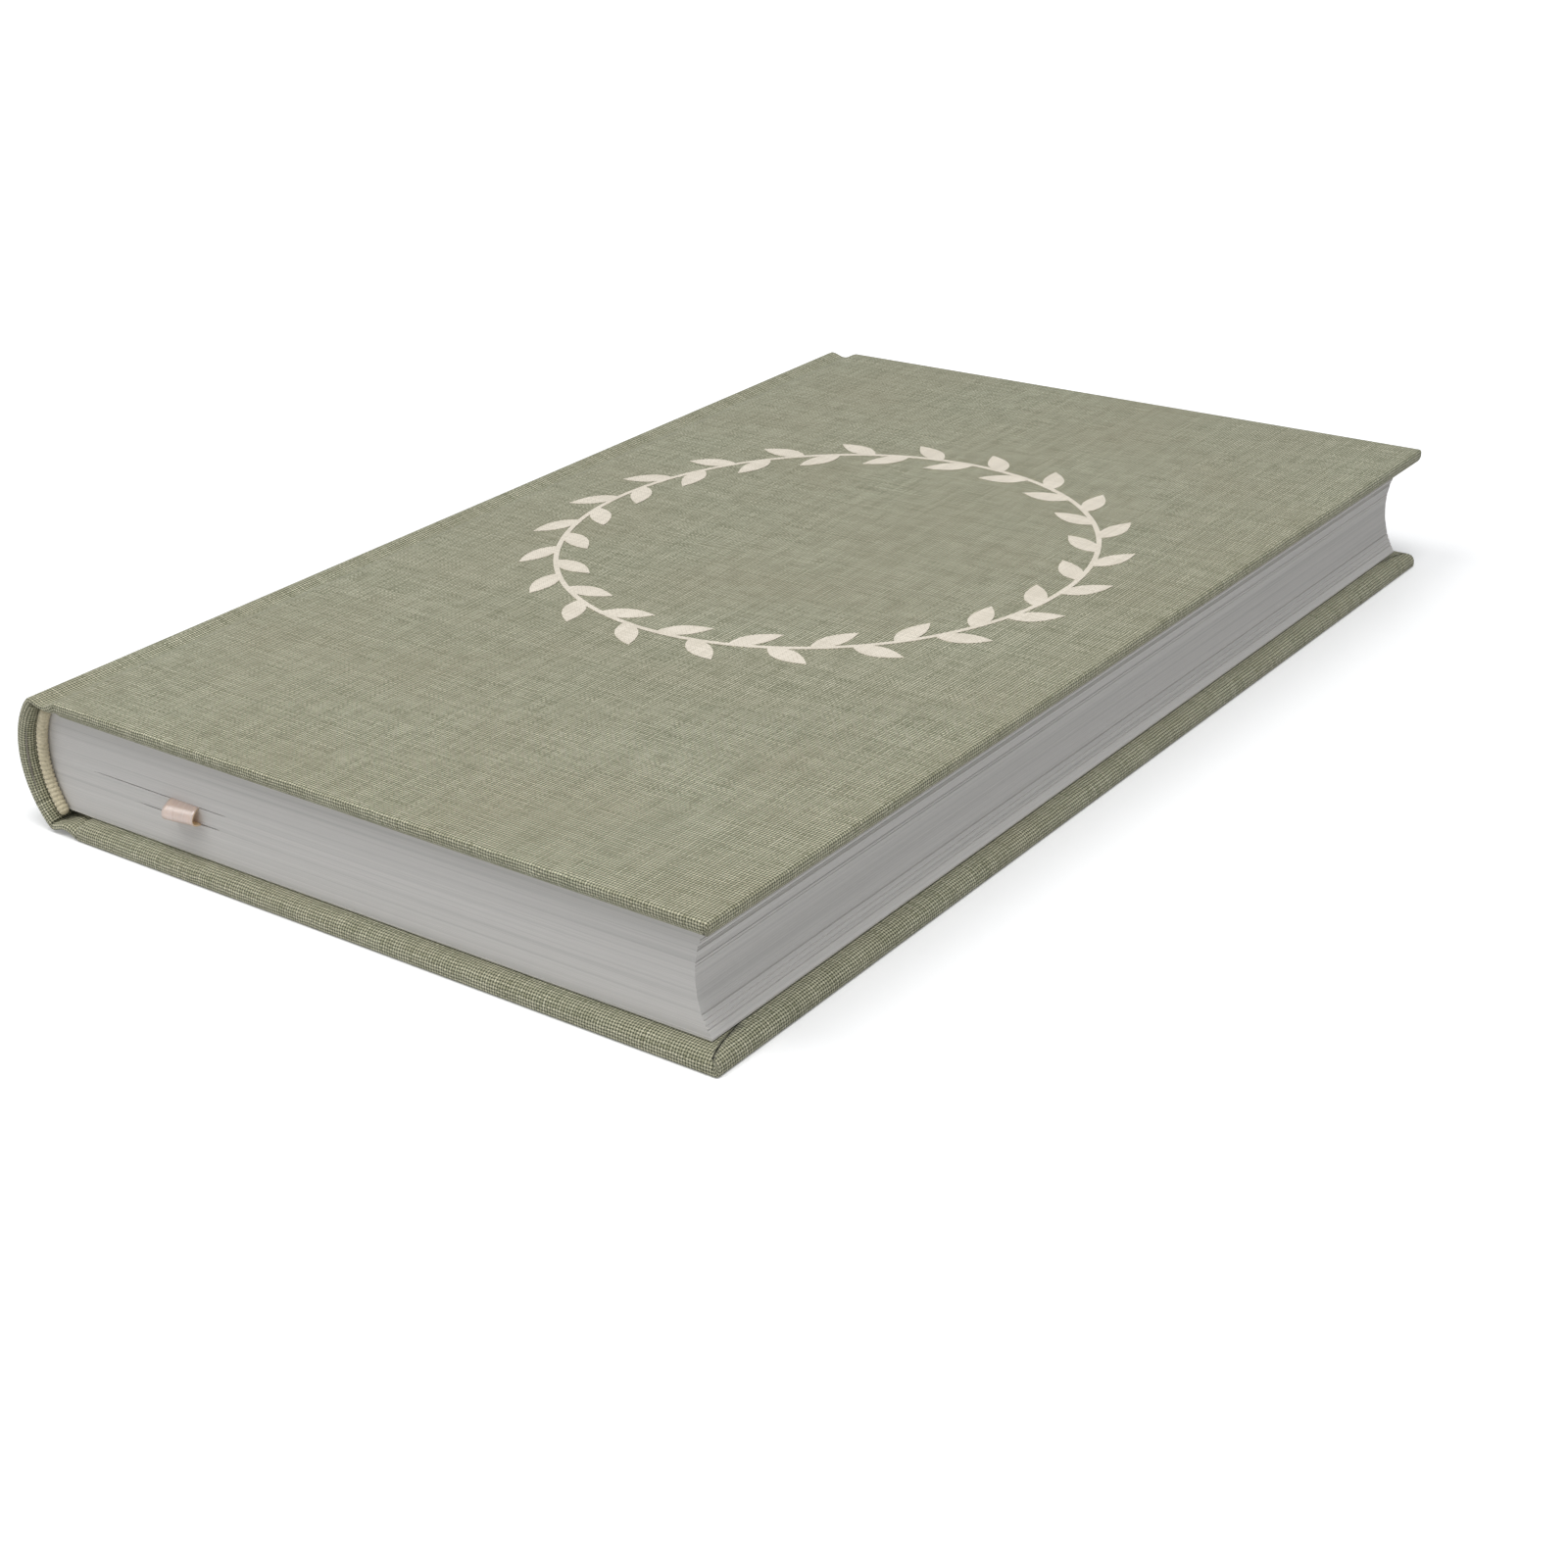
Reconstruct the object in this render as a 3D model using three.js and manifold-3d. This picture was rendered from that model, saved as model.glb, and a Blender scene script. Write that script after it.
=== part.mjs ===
// A hardback book bound in green linen, closed and lying on its back cover.
// It is case bound: a sewn, rounded block of pages hangs in a cloth case of two boards and a hollow round spine.
// Millimetres. +Z is up, +Y runs from tail to head, +X from spine to fore-edge.
// The origin is under the middle of the book, on the face that it lies on.
//
// The section is drawn across the book, in x and w. x starts at the centre of the spine's rounding,
// and w is the height above the middle of the pages, so the back half is the front half mirrored in w.

import * as THREE from "three";
import { mergeVertices } from "three/addons/utils/BufferGeometryUtils.js";
import Module from "manifold-3d";

// Pages
const pageWidth = 140.8;
const pageHeight = 222.4;
const blockThickness = 17.45; // at the fore-edge
const swell = 0.9; // the sewn back is thicker by this, so the covers slope down to the fore-edge
const backRadius = 17.3; // rounding of the pages' back; the fore-edge is hollow by the same arc
const sections = 17; // folded gatherings sewn together
const sectionNotch = 0.12; // depth of the line between two gatherings at the fore-edge
const sectionGap = 0.1; // its half width

// Case
const square = 3.3; // what the boards stand past the pages
const boardThickness = 2.4;
const clothThickness = 0.35;
const turnIn = 15; // cloth folded over onto the inside of a board
const spineTurnIn = 12; // cloth folded over the ends of the spine card
const edgeRadius = 1;
const cornerRadius = 1.3;
const inlayThickness = 0.8; // card in the spine
const inlayMargin = 0.9; // from the card's edge to where the ridge begins, along the spine's arc
const hollowGap = 0.55; // air between the pages' back and the case's spine
const jointWidth = 5.6; // from the pages' shoulder to the edge of the board
const jointRise = 1.1; // how far onto the board the cloth still climbs
const ridgeDrop = 0.6; // the spine's ridge lies this far below the face of the board
const ridgeRadius = 2.6;
const grooveDepth = 1.35;
const grooveX = 2.6; // groove's lowest line, from the pages' shoulder

// Paper, linings and glue
const paperThickness = 0.15;
const mullThickness = 0.25;
const liningThickness = 0.2;
const liningInset = 1; // the lining paper stops short of the pages' ends
const glueLine = 0.05;
const closedGap = 0.1; // air between a closed cover and the page under it
const paperMargin = 0.2; // pastedown's trim inside the line of the pages
const stepClearance = 0.1; // pastedown's step inside the edge of the turned-in cloth

// Bands, ribbon and stamp
const beadRadius = 1.3;
const beadInset = 0.56; // from the pages' back to the bead's middle
const beadOverhang = 1.1; // the bead's ends pass the pages' faces
const bandSkirt = 12; // tape of the band, glued down the back
const ribbonWidth = 6.5;
const ribbonThickness = 0.25;
const ribbonX = 32.2; // middle of the ribbon at the tail, from the pages' shoulder
const ribbonOut = 0; // height of the ribbon where it leaves the pages, above their middle
const ribbonIn = -3; // and where its end is tucked back in
const ribbonLoop = 1.9; // how far the loop stands out of the tail
const ribbonTuck = 45;
const ribbonHeadGap = 12; // its other end stops short of the head, glued in at the back
const ribbonBackGap = 3; // and stops this far inside the pages' back
const ribbonSlack = 0.1; // air around the ribbon between the pages
const stampThickness = 0.1;
const stampLift = 0.02;
const stampX = 72.4; // middle of the stamped garland, from the pages' shoulder
const stampY = 11.5; // and above the middle of the cover
const stemRadius = 50.2;
const stemWidth = 1;
const leafPairs = 22;
const leafLength = 10.2;
const leafWidth = 4.2;
const leafLean = 38; // degrees from the stem
const slitHalf = 0.1; // half the slit in the joint's cloth, where the cover parts from the spine
const jointClear = 0.45; // the slit's middle, from the circle that the board's edge sweeps

// Finish: colour, roughness
const finishes = {
  cloth: [0x9d9d82, 0.9],
  board: [0x8f887b, 0.9],
  pages: [0xe6e3dc, 0.85],
  paper: [0xebe7df, 0.85],
  band: [0xd8c8ae, 0.8],
  mull: [0xe9e4d6, 0.95],
  lining: [0xb79a73, 0.9],
  ribbon: [0xe3c5b6, 0.45],
  stamp: [0xd9cfc0, 0.7],
};

// Driven sizes
const foreHalf = blockThickness / 2;
const backHalf = foreHalf + swell / 2;
const leafFace = backHalf + glueLine + paperThickness; // outside of the flyleaf
const insideFace = leafFace + closedGap + paperThickness + glueLine; // inside of the turned-in cloth
const coverThickness = boardThickness + 2 * (clothThickness + glueLine);
const caseHalf = insideFace + coverThickness;
const mullRadius = backRadius + glueLine;
const liningRadius = mullRadius + mullThickness + glueLine;
const spineInside = liningRadius + liningThickness + hollowGap;
const inlayRadius = spineInside + clothThickness + glueLine;
const spineRadius = inlayRadius + inlayThickness + glueLine + clothThickness;
const shoulderX = -Math.sqrt(backRadius ** 2 - backHalf ** 2);
const foreEdgeX = shoulderX + pageWidth + square;
const boardEdgeX = shoulderX + jointWidth;
const caseHeight = pageHeight + 2 * square;
const pageEnd = pageHeight / 2;
const hinge = { x: shoulderX, w: leafFace + closedGap / 2 };
const slitRadius = jointWidth - jointClear;
const slope = Math.atan(swell / 2 / pageWidth); // of each cover, from the middle of the pages

// Centre of the small arc that rounds the spine's ridge, tangent to the spine and to the ridge's top
const ridgeW = caseHalf - ridgeDrop - ridgeRadius;
const ridgeX = -Math.sqrt((spineRadius - ridgeRadius) ** 2 - ridgeW ** 2);
const ridgeAngle = Math.atan2(ridgeW, -ridgeX);

const wasm = await Module();
wasm.setup();

// Solids

function solid(geometry) {
  geometry.deleteAttribute("normal");
  geometry.deleteAttribute("uv");
  const merged = mergeVertices(geometry, 1e-4);
  const mesh = new wasm.Mesh({
    numProp: 3,
    vertProperties: merged.attributes.position.array,
    triVerts: new Uint32Array(merged.index.array),
  });
  return new wasm.Manifold(mesh);
}

function geometryOf(made) {
  const mesh = made.getMesh();
  const geometry = new THREE.BufferGeometry();
  geometry.setAttribute("position", new THREE.BufferAttribute(mesh.vertProperties, 3));
  geometry.setIndex(new THREE.BufferAttribute(mesh.triVerts, 1));
  geometry.computeVertexNormals();
  return geometry;
}

// A piece of a cover is drawn level, then sloped about the line that the cover turns on.
function sloped(made) {
  const about = [hinge.x, 0, hinge.w];
  const degrees = THREE.MathUtils.radToDeg(slope);
  return made.translate(about.map((v) => -v)).rotate([0, degrees, 0]).translate(about);
}

const joined = (solids) => solids.reduce((all, next) => all.add(next));

// An outline in x and w, drawn out along y from y0 to y1.
function alongY(shape, y0, y1, curveSegments = 24) {
  const geometry = new THREE.ExtrudeGeometry(shape, { depth: y1 - y0, bevelEnabled: false, curveSegments });
  geometry.rotateX(Math.PI / 2);
  geometry.translate(0, y1, 0);
  return solid(geometry);
}

function box(x0, x1, y0, y1, w0, w1) {
  const geometry = new THREE.BoxGeometry(x1 - x0, y1 - y0, w1 - w0);
  geometry.translate((x0 + x1) / 2, (y0 + y1) / 2, (w0 + w1) / 2);
  return solid(geometry);
}

// A curved plate around the centre of the spine's rounding, as wide as its half angle each way.
function arcPlate(inside, thickness, halfAngle, y0, y1) {
  const outside = inside + thickness;
  const shape = new THREE.Shape();
  shape.absarc(0, 0, outside, Math.PI - halfAngle, Math.PI + halfAngle, false);
  shape.absarc(0, 0, inside, Math.PI + halfAngle, Math.PI - halfAngle, true);
  shape.closePath();
  return alongY(shape, y0, y1, 28);
}

// The half angle at which an arc of this radius reaches a height.
const angleAt = (radius, w) => Math.asin(w / radius);

// The face of the joint: from the ridge down into the groove and up onto the board.
function jointLine() {
  const steps = 8;
  const groove = [shoulderX + grooveX, caseHalf - grooveDepth];
  const swing = (from, to) =>
    Array.from({ length: steps + 1 }, (_, i) => {
      const ease = (1 - Math.cos((Math.PI * i) / steps)) / 2;
      return new THREE.Vector2(from[0] + ((to[0] - from[0]) * i) / steps, from[1] + (to[1] - from[1]) * ease);
    });
  const fall = swing([ridgeX, caseHalf - ridgeDrop], groove);
  const climb = swing(groove, [boardEdgeX + jointRise, caseHalf]);
  return [...fall, ...climb.slice(1)];
}

const lowered = (points, drop) => points.map((p) => new THREE.Vector2(p.x, p.y - drop));

function jointCloth() {
  const face = jointLine();
  const under = lowered(face, clothThickness).reverse();
  return alongY(new THREE.Shape([...face, ...under]), -caseHeight / 2, caseHeight / 2);
}

// All that lies above the joint's face, or above a face this far under it.
function aboveJoint(drop) {
  const face = lowered(jointLine(), drop);
  const last = face[face.length - 1];
  const top = caseHalf + coverThickness;
  const lid = [new THREE.Vector2(last.x, top), new THREE.Vector2(face[0].x, top)];
  return alongY(new THREE.Shape([...face, ...lid]), -caseHeight, caseHeight);
}

function hingeCylinder(radius) {
  const geometry = new THREE.CylinderGeometry(radius, radius, caseHeight + 2 * square, 96);
  geometry.translate(hinge.x, 0, hinge.w);
  return solid(geometry);
}

// Pieces of the block

// Height of the line between two gatherings, at the fore-edge.
const sectionLine = (i) => -foreHalf + (blockThickness * i) / sections;

function pageBlock() {
  const back = angleAt(backRadius, backHalf);
  const hollow = Math.sqrt(backRadius ** 2 - foreHalf ** 2);
  const foreX = (w) => shoulderX + pageWidth + hollow - Math.sqrt(backRadius ** 2 - w ** 2);
  const shape = new THREE.Shape();
  shape.absarc(0, 0, backRadius, Math.PI - back, Math.PI + back, false);
  shape.lineTo(foreX(foreHalf), -foreHalf);
  for (let i = 1; i < sections; i++) {
    const w = sectionLine(i);
    shape.lineTo(foreX(w - sectionGap), w - sectionGap);
    shape.lineTo(foreX(w) - sectionNotch, w);
    shape.lineTo(foreX(w + sectionGap), w + sectionGap);
  }
  shape.lineTo(foreX(foreHalf), foreHalf);
  shape.closePath();
  return alongY(shape, -pageEnd, pageEnd, 40).subtract(ribbon(ribbonSlack));
}

function flyleaf() {
  return box(shoulderX, foreEdgeX - square, -pageEnd, pageEnd, backHalf + glueLine, leafFace);
}

// A woven band at one end of the back: a round bead on the pages' end and a tape down the back.
function band() {
  const middle = backRadius - beadInset;
  const reach = angleAt(middle, backHalf + beadOverhang);
  const beadY = pageEnd + beadRadius + glueLine;
  class Arc extends THREE.Curve {
    getPoint(t, target = new THREE.Vector3()) {
      const angle = Math.PI - reach + 2 * reach * t;
      return target.set(middle * Math.cos(angle), beadY, middle * Math.sin(angle));
    }
  }
  const circle = new THREE.Shape().absarc(0, 0, beadRadius, 0, 2 * Math.PI, false);
  const tube = { steps: 24, curveSegments: 6, extrudePath: new Arc(), bevelEnabled: false };
  const bead = solid(new THREE.ExtrudeGeometry(circle, tube));
  const tapeReach = angleAt(mullRadius, backHalf);
  const tape = arcPlate(mullRadius, mullThickness, tapeReach, pageEnd - bandSkirt, beadY);
  return bead.add(tape);
}

function mull() {
  const end = pageEnd - bandSkirt - closedGap;
  return arcPlate(mullRadius, mullThickness, angleAt(mullRadius, backHalf), -end, end);
}

function lining() {
  const end = pageEnd - liningInset;
  return arcPlate(liningRadius, liningThickness, angleAt(liningRadius, backHalf), -end, end);
}

// The ribbon lies slantwise between the pages, from the back near the head to a loop at the tail.
// With slack it is the room that the ribbon takes between the pages.
function ribbon(slack = 0) {
  const half = ribbonThickness / 2 + slack;
  const exit = -pageEnd;
  const headEnd = pageEnd - ribbonHeadGap + slack;
  const tuckEnd = exit + ribbonTuck + slack;
  const middle = (ribbonOut + ribbonIn) / 2;
  const drop = (ribbonOut - ribbonIn) / 2;
  const shape = new THREE.Shape();
  shape.moveTo(headEnd, ribbonOut - half);
  shape.lineTo(headEnd, ribbonOut + half);
  shape.lineTo(exit, ribbonOut + half);
  shape.absellipse(exit, middle, ribbonLoop + half, drop + half, Math.PI / 2, 1.5 * Math.PI, false, 0);
  shape.lineTo(tuckEnd, ribbonIn - half);
  shape.lineTo(tuckEnd, ribbonIn + half);
  shape.lineTo(exit, ribbonIn + half);
  shape.absellipse(exit, middle, ribbonLoop - half, drop - half, 1.5 * Math.PI, Math.PI / 2, true, 0);
  shape.closePath();
  const width = ribbonWidth + 2 * slack;
  const geometry = new THREE.ExtrudeGeometry(shape, { depth: width, bevelEnabled: false, curveSegments: 16 });
  // The outline's first axis becomes y, its second w, and its depth x.
  geometry.applyMatrix4(new THREE.Matrix4().set(0, 0, 1, -width / 2, 1, 0, 0, -exit, 0, 1, 0, 0, 0, 0, 0, 1));
  const run = pageHeight - ribbonHeadGap;
  const backX = ribbonBackGap + ribbonWidth / 2 - (backRadius + shoulderX);
  geometry.rotateZ(Math.atan2(ribbonX - backX, run));
  geometry.translate(shoulderX + ribbonX, exit, 0);
  return solid(geometry);
}

// Pieces of the case

// A cover's rounded slab, or a smaller one this far inside it.
function coverSlab(inset) {
  const yEnd = caseHeight / 2 - inset;
  const foreEdge = foreEdgeX - inset;
  const corner = cornerRadius - inset;
  const edge = edgeRadius - inset;
  const past = 4; // the slab runs past the board's spine edge and is cut off there
  const plan = new THREE.Shape();
  plan.moveTo(boardEdgeX - past, -yEnd);
  plan.lineTo(foreEdge - corner, -yEnd);
  plan.absarc(foreEdge - corner, -yEnd + corner, corner, -Math.PI / 2, 0, false);
  plan.absarc(foreEdge - corner, yEnd - corner, corner, 0, Math.PI / 2, false);
  plan.lineTo(boardEdgeX - past, yEnd);
  plan.closePath();
  const geometry = new THREE.ExtrudeGeometry(plan, {
    depth: coverThickness - 2 * (inset + edge),
    bevelThickness: edge,
    bevelSize: edge,
    bevelOffset: -edge,
    bevelSegments: 4,
    curveSegments: 5,
  });
  geometry.translate(0, 0, insideFace + inset + edge);
  const cut = box(boardEdgeX - 2 * past, boardEdgeX, -caseHeight, caseHeight, 0, 2 * caseHalf);
  return solid(geometry).subtract(cut);
}

function board() {
  const inset = clothThickness + glueLine;
  return coverSlab(inset).subtract(aboveJoint(inset));
}

// The cloth on one board: over its outside, round its three free edges and in by the turn-in.
function boardCloth() {
  const yEnd = caseHeight / 2 - turnIn;
  const inside = caseHalf - boardThickness;
  const window = box(boardEdgeX - turnIn, foreEdgeX - turnIn, -yEnd, yEnd, 0, inside);
  const wrap = coverSlab(0).subtract(coverSlab(clothThickness)).subtract(window).subtract(aboveJoint(0));
  const strip = jointCloth().subtract(hingeCylinder(slitRadius + slitHalf));
  return wrap.add(strip);
}

// The endpaper pasted to the board. It sinks from the turned-in cloth to the bare board, so their edge shows in it.
function pastedown() {
  const face = insideFace - glueLine - paperThickness;
  const x0 = boardEdgeX + paperMargin;
  const x1 = foreEdgeX - square - paperMargin;
  const y1 = pageEnd - paperMargin;
  const flat = box(x0, x1, -y1, y1, face, face + paperThickness);
  const sunk = insideFace + clothThickness; // face of the sunk field that touches the board
  const stepX = foreEdgeX - turnIn - stepClearance;
  const stepY = caseHeight / 2 - turnIn - stepClearance;
  const field = box(x0, stepX, -stepY, stepY, face, sunk);
  const wall = paperThickness;
  const dish = box(x0 - wall, stepX - wall, wall - stepY, stepY - wall, face - wall, sunk - wall);
  return flat.add(field).subtract(dish);
}

// The cloth over the spine: outside, round both ends of the card and in, and out over both ridges to the joints.
function spineCloth() {
  const yEnd = caseHeight / 2;
  const skin = arcPlate(spineRadius - clothThickness, clothThickness, ridgeAngle, -yEnd, yEnd);
  const round = new THREE.Shape();
  round.absarc(ridgeX, ridgeW, ridgeRadius, Math.PI / 2, Math.PI - ridgeAngle, false);
  round.absarc(ridgeX, ridgeW, ridgeRadius - clothThickness, Math.PI - ridgeAngle, Math.PI / 2, true);
  round.closePath();
  const ridge = alongY(round, -yEnd, yEnd, 8);
  const shelf = jointCloth().intersect(hingeCylinder(slitRadius - slitHalf));
  const upper = ridge.add(shelf);
  const lower = upper.mirror([0, 0, 1]);
  const reach = inlayReach();
  const folds = [-1, 1].map((side) => {
    const tip = side * yEnd;
    const fold = arcPlate(spineInside, spineRadius - spineInside, reach, ...ordered(tip, tip - side * clothThickness));
    const inner = arcPlate(spineInside, clothThickness, reach, ...ordered(tip, tip - side * spineTurnIn));
    return fold.add(inner);
  });
  return joined([skin, upper, lower, ...folds]);
}

const ordered = (a, b) => [Math.min(a, b), Math.max(a, b)];

const inlayReach = () => ridgeAngle - inlayMargin / spineRadius;

function spineInlay() {
  const yEnd = caseHeight / 2 - clothThickness - glueLine;
  return arcPlate(inlayRadius, inlayThickness, inlayReach(), -yEnd, yEnd);
}

// The stamped garland: a thin ring with leaves that lean off it on both sides.
function stamp() {
  const turn = (2 * Math.PI) / leafPairs;
  const face = caseHalf + stampLift;
  const depth = { depth: stampThickness, bevelEnabled: false, curveSegments: 6 };
  const ring = new THREE.Shape().absarc(0, 0, stemRadius + stemWidth / 2, 0, 2 * Math.PI, false);
  ring.holes.push(new THREE.Path().absarc(0, 0, stemRadius - stemWidth / 2, 0, 2 * Math.PI, true));
  const stem = solid(new THREE.ExtrudeGeometry(ring, { ...depth, curveSegments: 96 }));
  const leaf = new THREE.Shape();
  leaf.moveTo(0, 0);
  leaf.quadraticCurveTo(leafLength * 0.4, leafWidth, leafLength, 0);
  leaf.quadraticCurveTo(leafLength * 0.4, -leafWidth, 0, 0);
  const lean = THREE.MathUtils.degToRad(leafLean);
  const leaves = [];
  for (let i = 0; i < leafPairs; i++) {
    for (const side of [1, -1]) {
      const geometry = new THREE.ExtrudeGeometry(leaf, depth);
      const start = i * turn + (side < 0 ? turn / 2 : 0);
      geometry.rotateZ(Math.PI / 2 - side * lean);
      geometry.translate(stemRadius, 0, 0);
      geometry.rotateZ(start);
      leaves.push(solid(geometry));
    }
  }
  return joined([stem, ...leaves]).translate([shoulderX + stampX, stampY, face]);
}

// The scene

function mesh(name, made, finish) {
  const [color, roughness] = finishes[finish];
  const material = new THREE.MeshStandardMaterial({ color, roughness, metalness: 0 });
  const node = new THREE.Mesh(geometryOf(made), material);
  node.name = name;
  return node;
}

function cover(side) {
  const group = new THREE.Group();
  group.add(mesh(`${side}_board`, sloped(board()), "board"));
  group.add(mesh(`${side}_cloth`, sloped(boardCloth()), "cloth"));
  group.add(mesh(`${side}_pastedown`, sloped(pastedown()), "paper"));
  group.add(mesh(`${side}_flyleaf`, sloped(flyleaf()), "paper"));
  return group;
}

function block() {
  const group = new THREE.Group();
  group.add(mesh("page_block", pageBlock(), "pages"));
  group.add(mesh("headband", band(), "band"));
  group.add(mesh("tailband", band().mirror([0, 1, 0]), "band"));
  group.add(mesh("spine_mull", mull(), "mull"));
  group.add(mesh("spine_lining", lining(), "lining"));
  group.add(mesh("ribbon_marker", ribbon(), "ribbon"));
  return group;
}

function spine() {
  const group = new THREE.Group();
  group.add(mesh("spine_cloth", spineCloth(), "cloth"));
  group.add(mesh("spine_inlay", spineInlay(), "board"));
  return group;
}

const front = cover("front");
front.add(mesh("cover_ornament", sloped(stamp()), "stamp"));
const back = cover("back");
back.scale.z = -1;

const book = new THREE.Group();
book.add(block(), spine(), front, back);
book.rotation.y = slope; // the back cover lies flat
const extent = new THREE.Box3().setFromObject(book, true);
book.position.set(-(extent.min.x + extent.max.x) / 2, 0, -extent.min.z);

export default book;
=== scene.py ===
# A hardback book bound in green linen: the look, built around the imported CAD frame.
# Sizes are millimetres, in the section of the CAD source: x from the centre of the spine's rounding,
# y along the spine and w above the middle of the pages. The back half is the front half mirrored in w.
# A piece is made in the section, and row() brings it to the row frame in metres.

import math

import bmesh
import bpy
import numpy as np
from mathutils import Matrix, Vector


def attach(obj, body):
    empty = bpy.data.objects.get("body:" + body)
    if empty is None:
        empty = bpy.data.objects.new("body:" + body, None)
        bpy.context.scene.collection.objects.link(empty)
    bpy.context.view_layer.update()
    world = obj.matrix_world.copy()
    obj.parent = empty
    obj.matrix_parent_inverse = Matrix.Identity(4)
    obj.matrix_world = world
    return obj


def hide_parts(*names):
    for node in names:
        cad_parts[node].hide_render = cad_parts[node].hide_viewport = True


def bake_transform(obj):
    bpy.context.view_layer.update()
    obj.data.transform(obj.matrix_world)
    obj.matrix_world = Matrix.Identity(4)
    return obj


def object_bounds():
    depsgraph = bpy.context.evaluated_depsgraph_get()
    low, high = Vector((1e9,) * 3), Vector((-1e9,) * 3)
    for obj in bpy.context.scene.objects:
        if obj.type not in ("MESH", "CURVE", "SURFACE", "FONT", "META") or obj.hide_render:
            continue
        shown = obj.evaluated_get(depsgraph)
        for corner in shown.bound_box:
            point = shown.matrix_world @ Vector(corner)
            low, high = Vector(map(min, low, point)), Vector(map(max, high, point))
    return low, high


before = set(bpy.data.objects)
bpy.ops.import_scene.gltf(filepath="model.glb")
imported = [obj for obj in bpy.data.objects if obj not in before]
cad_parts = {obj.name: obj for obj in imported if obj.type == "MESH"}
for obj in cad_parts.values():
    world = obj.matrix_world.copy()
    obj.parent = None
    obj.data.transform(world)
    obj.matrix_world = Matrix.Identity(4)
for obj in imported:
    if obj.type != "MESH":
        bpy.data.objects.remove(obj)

cad_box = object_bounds()
MM = 0.001
WELD_CLOSE, WELD_WIDE = 1e-7, 1e-6  # in metres

# Sizes, as in the CAD source
PAGE_WIDTH = 140.8
PAGE_END = 111.2
FORE_HALF = 8.725
SWELL = 0.9
BACK_RADIUS = 17.3
SQUARE = 3.3
CLOTH = 0.35
GLUE = 0.05
BOARD = 2.4
TURN_IN = 15
SPINE_TURN_IN = 12
PAPER = 0.15
CLOSED_GAP = 0.1
JOINT_WIDTH = 5.6
JOINT_RISE = 1.1
RIDGE_DROP = 0.6
RIDGE_RADIUS = 1.1  # tighter than in the CAD source
GROOVE_DEPTH = 1.35
GROOVE_X = 2.6
INLAY = 0.8
SPINE_RADIUS = 20
SPINE_INSIDE = SPINE_RADIUS - 2 * (CLOTH + GLUE) - INLAY
BEAD_OVERHANG = 1.1
RIBBON_WIDTH = 6.5
RIBBON_X = 32.2
RIBBON_OUT = 0
RIBBON_IN = -3
RIBBON_LOOP = 2.3  # a little more open than in the CAD source
RIBBON_TUCK = 45
RIBBON_HEAD_GAP = 12
RIBBON_BACK_GAP = 3

BLOCK_HALF = FORE_HALF + SWELL / 2  # at the back
LEAF_FACE = BLOCK_HALF + GLUE + PAPER
INSIDE_FACE = LEAF_FACE + CLOSED_GAP + PAPER + GLUE
COVER = BOARD + 2 * (CLOTH + GLUE)
CASE_HALF = INSIDE_FACE + COVER
SHOULDER_X = -math.sqrt(BACK_RADIUS**2 - BLOCK_HALF**2)
FORE_X = SHOULDER_X + PAGE_WIDTH + SQUARE
BOARD_X = SHOULDER_X + JOINT_WIDTH
Y_END = PAGE_END + SQUARE
SLOPE = math.atan(SWELL / 2 / PAGE_WIDTH)  # of each cover, from the middle of the pages
RIDGE_W = CASE_HALF - RIDGE_DROP - RIDGE_RADIUS
RIDGE_X = -math.sqrt((SPINE_RADIUS - RIDGE_RADIUS) ** 2 - RIDGE_W**2)
RIDGE_ANGLE = math.atan2(RIDGE_W, -RIDGE_X)
HINGE_W = LEAF_FACE + CLOSED_GAP / 2
# Where the section's centre comes to lie, with the back cover level
LIFT = SHOULDER_X * math.sin(SLOPE) + HINGE_W * math.cos(SLOPE) + CASE_HALF - HINGE_W
SHIFT_X = cad_box[0][0] / MM + SPINE_RADIUS

# Only in the look
EDGE_DOWN = 0.5  # rounding of a board's outer edge, seen from the side
EDGE_OUT = 0.65  # and seen from above
INNER_DOWN = 2.1  # rounding of its inner edge, where the cloth turns in
INNER_IN = 2.5
SPINE_CUT = 8.0  # from here up, the spine's cloth is part of the joint's strip
SPINE_BULGE = 0.9  # the spine stands out this far beyond the CAD source's arc
# Thickness of the case at its tail and head, where the cloth is folded in
SPINE_STACK = SPINE_RADIUS + SPINE_BULGE - SPINE_INSIDE
RIDGE_STACK = 1.4
JOINT_STACK = 0.9  # in the groove
BOARD_STACK = 2.3  # where the joint meets the board
STACK_GROWTH = 4  # length along the spine, from the ridge's thickness to the spine's
SEAM_START = 0.35  # the seam of the two turn-ins: where it starts beside the corner
SEAM_LEAN = 0.43  # how fast it leaves the fore-edge
SEAM_CURVE = 0.8
SEAM_DEPTH = 0.38
SEAM_HALF = 0.2
SEAM_FROM, SEAM_OVER = 1.2, 1.4  # depth at which it leaves the corner, and over what depth
OUTER_STEPS, INNER_STEPS, IN_STEPS = 4, 9, 6  # of a fold: over, under and inside the edge
FAN = 8  # steps round a corner
BAND_RADIUS = 1.0
BAND_INSET = 0.3
BAND_TURNS = 25  # ribs of thread
BAND_RIB = 0.16  # depth between them
BAND_RING = 20  # points round the bead
RIBBON_SLITS = ((RIBBON_OUT, 11, 42), (RIBBON_IN, 21, 38.5))  # height in the block, and where in x
SLIT_HALF = 0.09
SLIT_DEPTH = 1.6
RIBBON_SAG = 0.3
RIBBON_THICKNESS = 0.2
RIBBON_COLUMNS = 13
LOOP_STEPS = 24
JOINT_PAPER = 0.08  # the endpaper, pressed thin where it crosses the joint
TURN_IN_STEP = 0.25  # length of its step down from the turned-in cloth to the bare board
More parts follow.
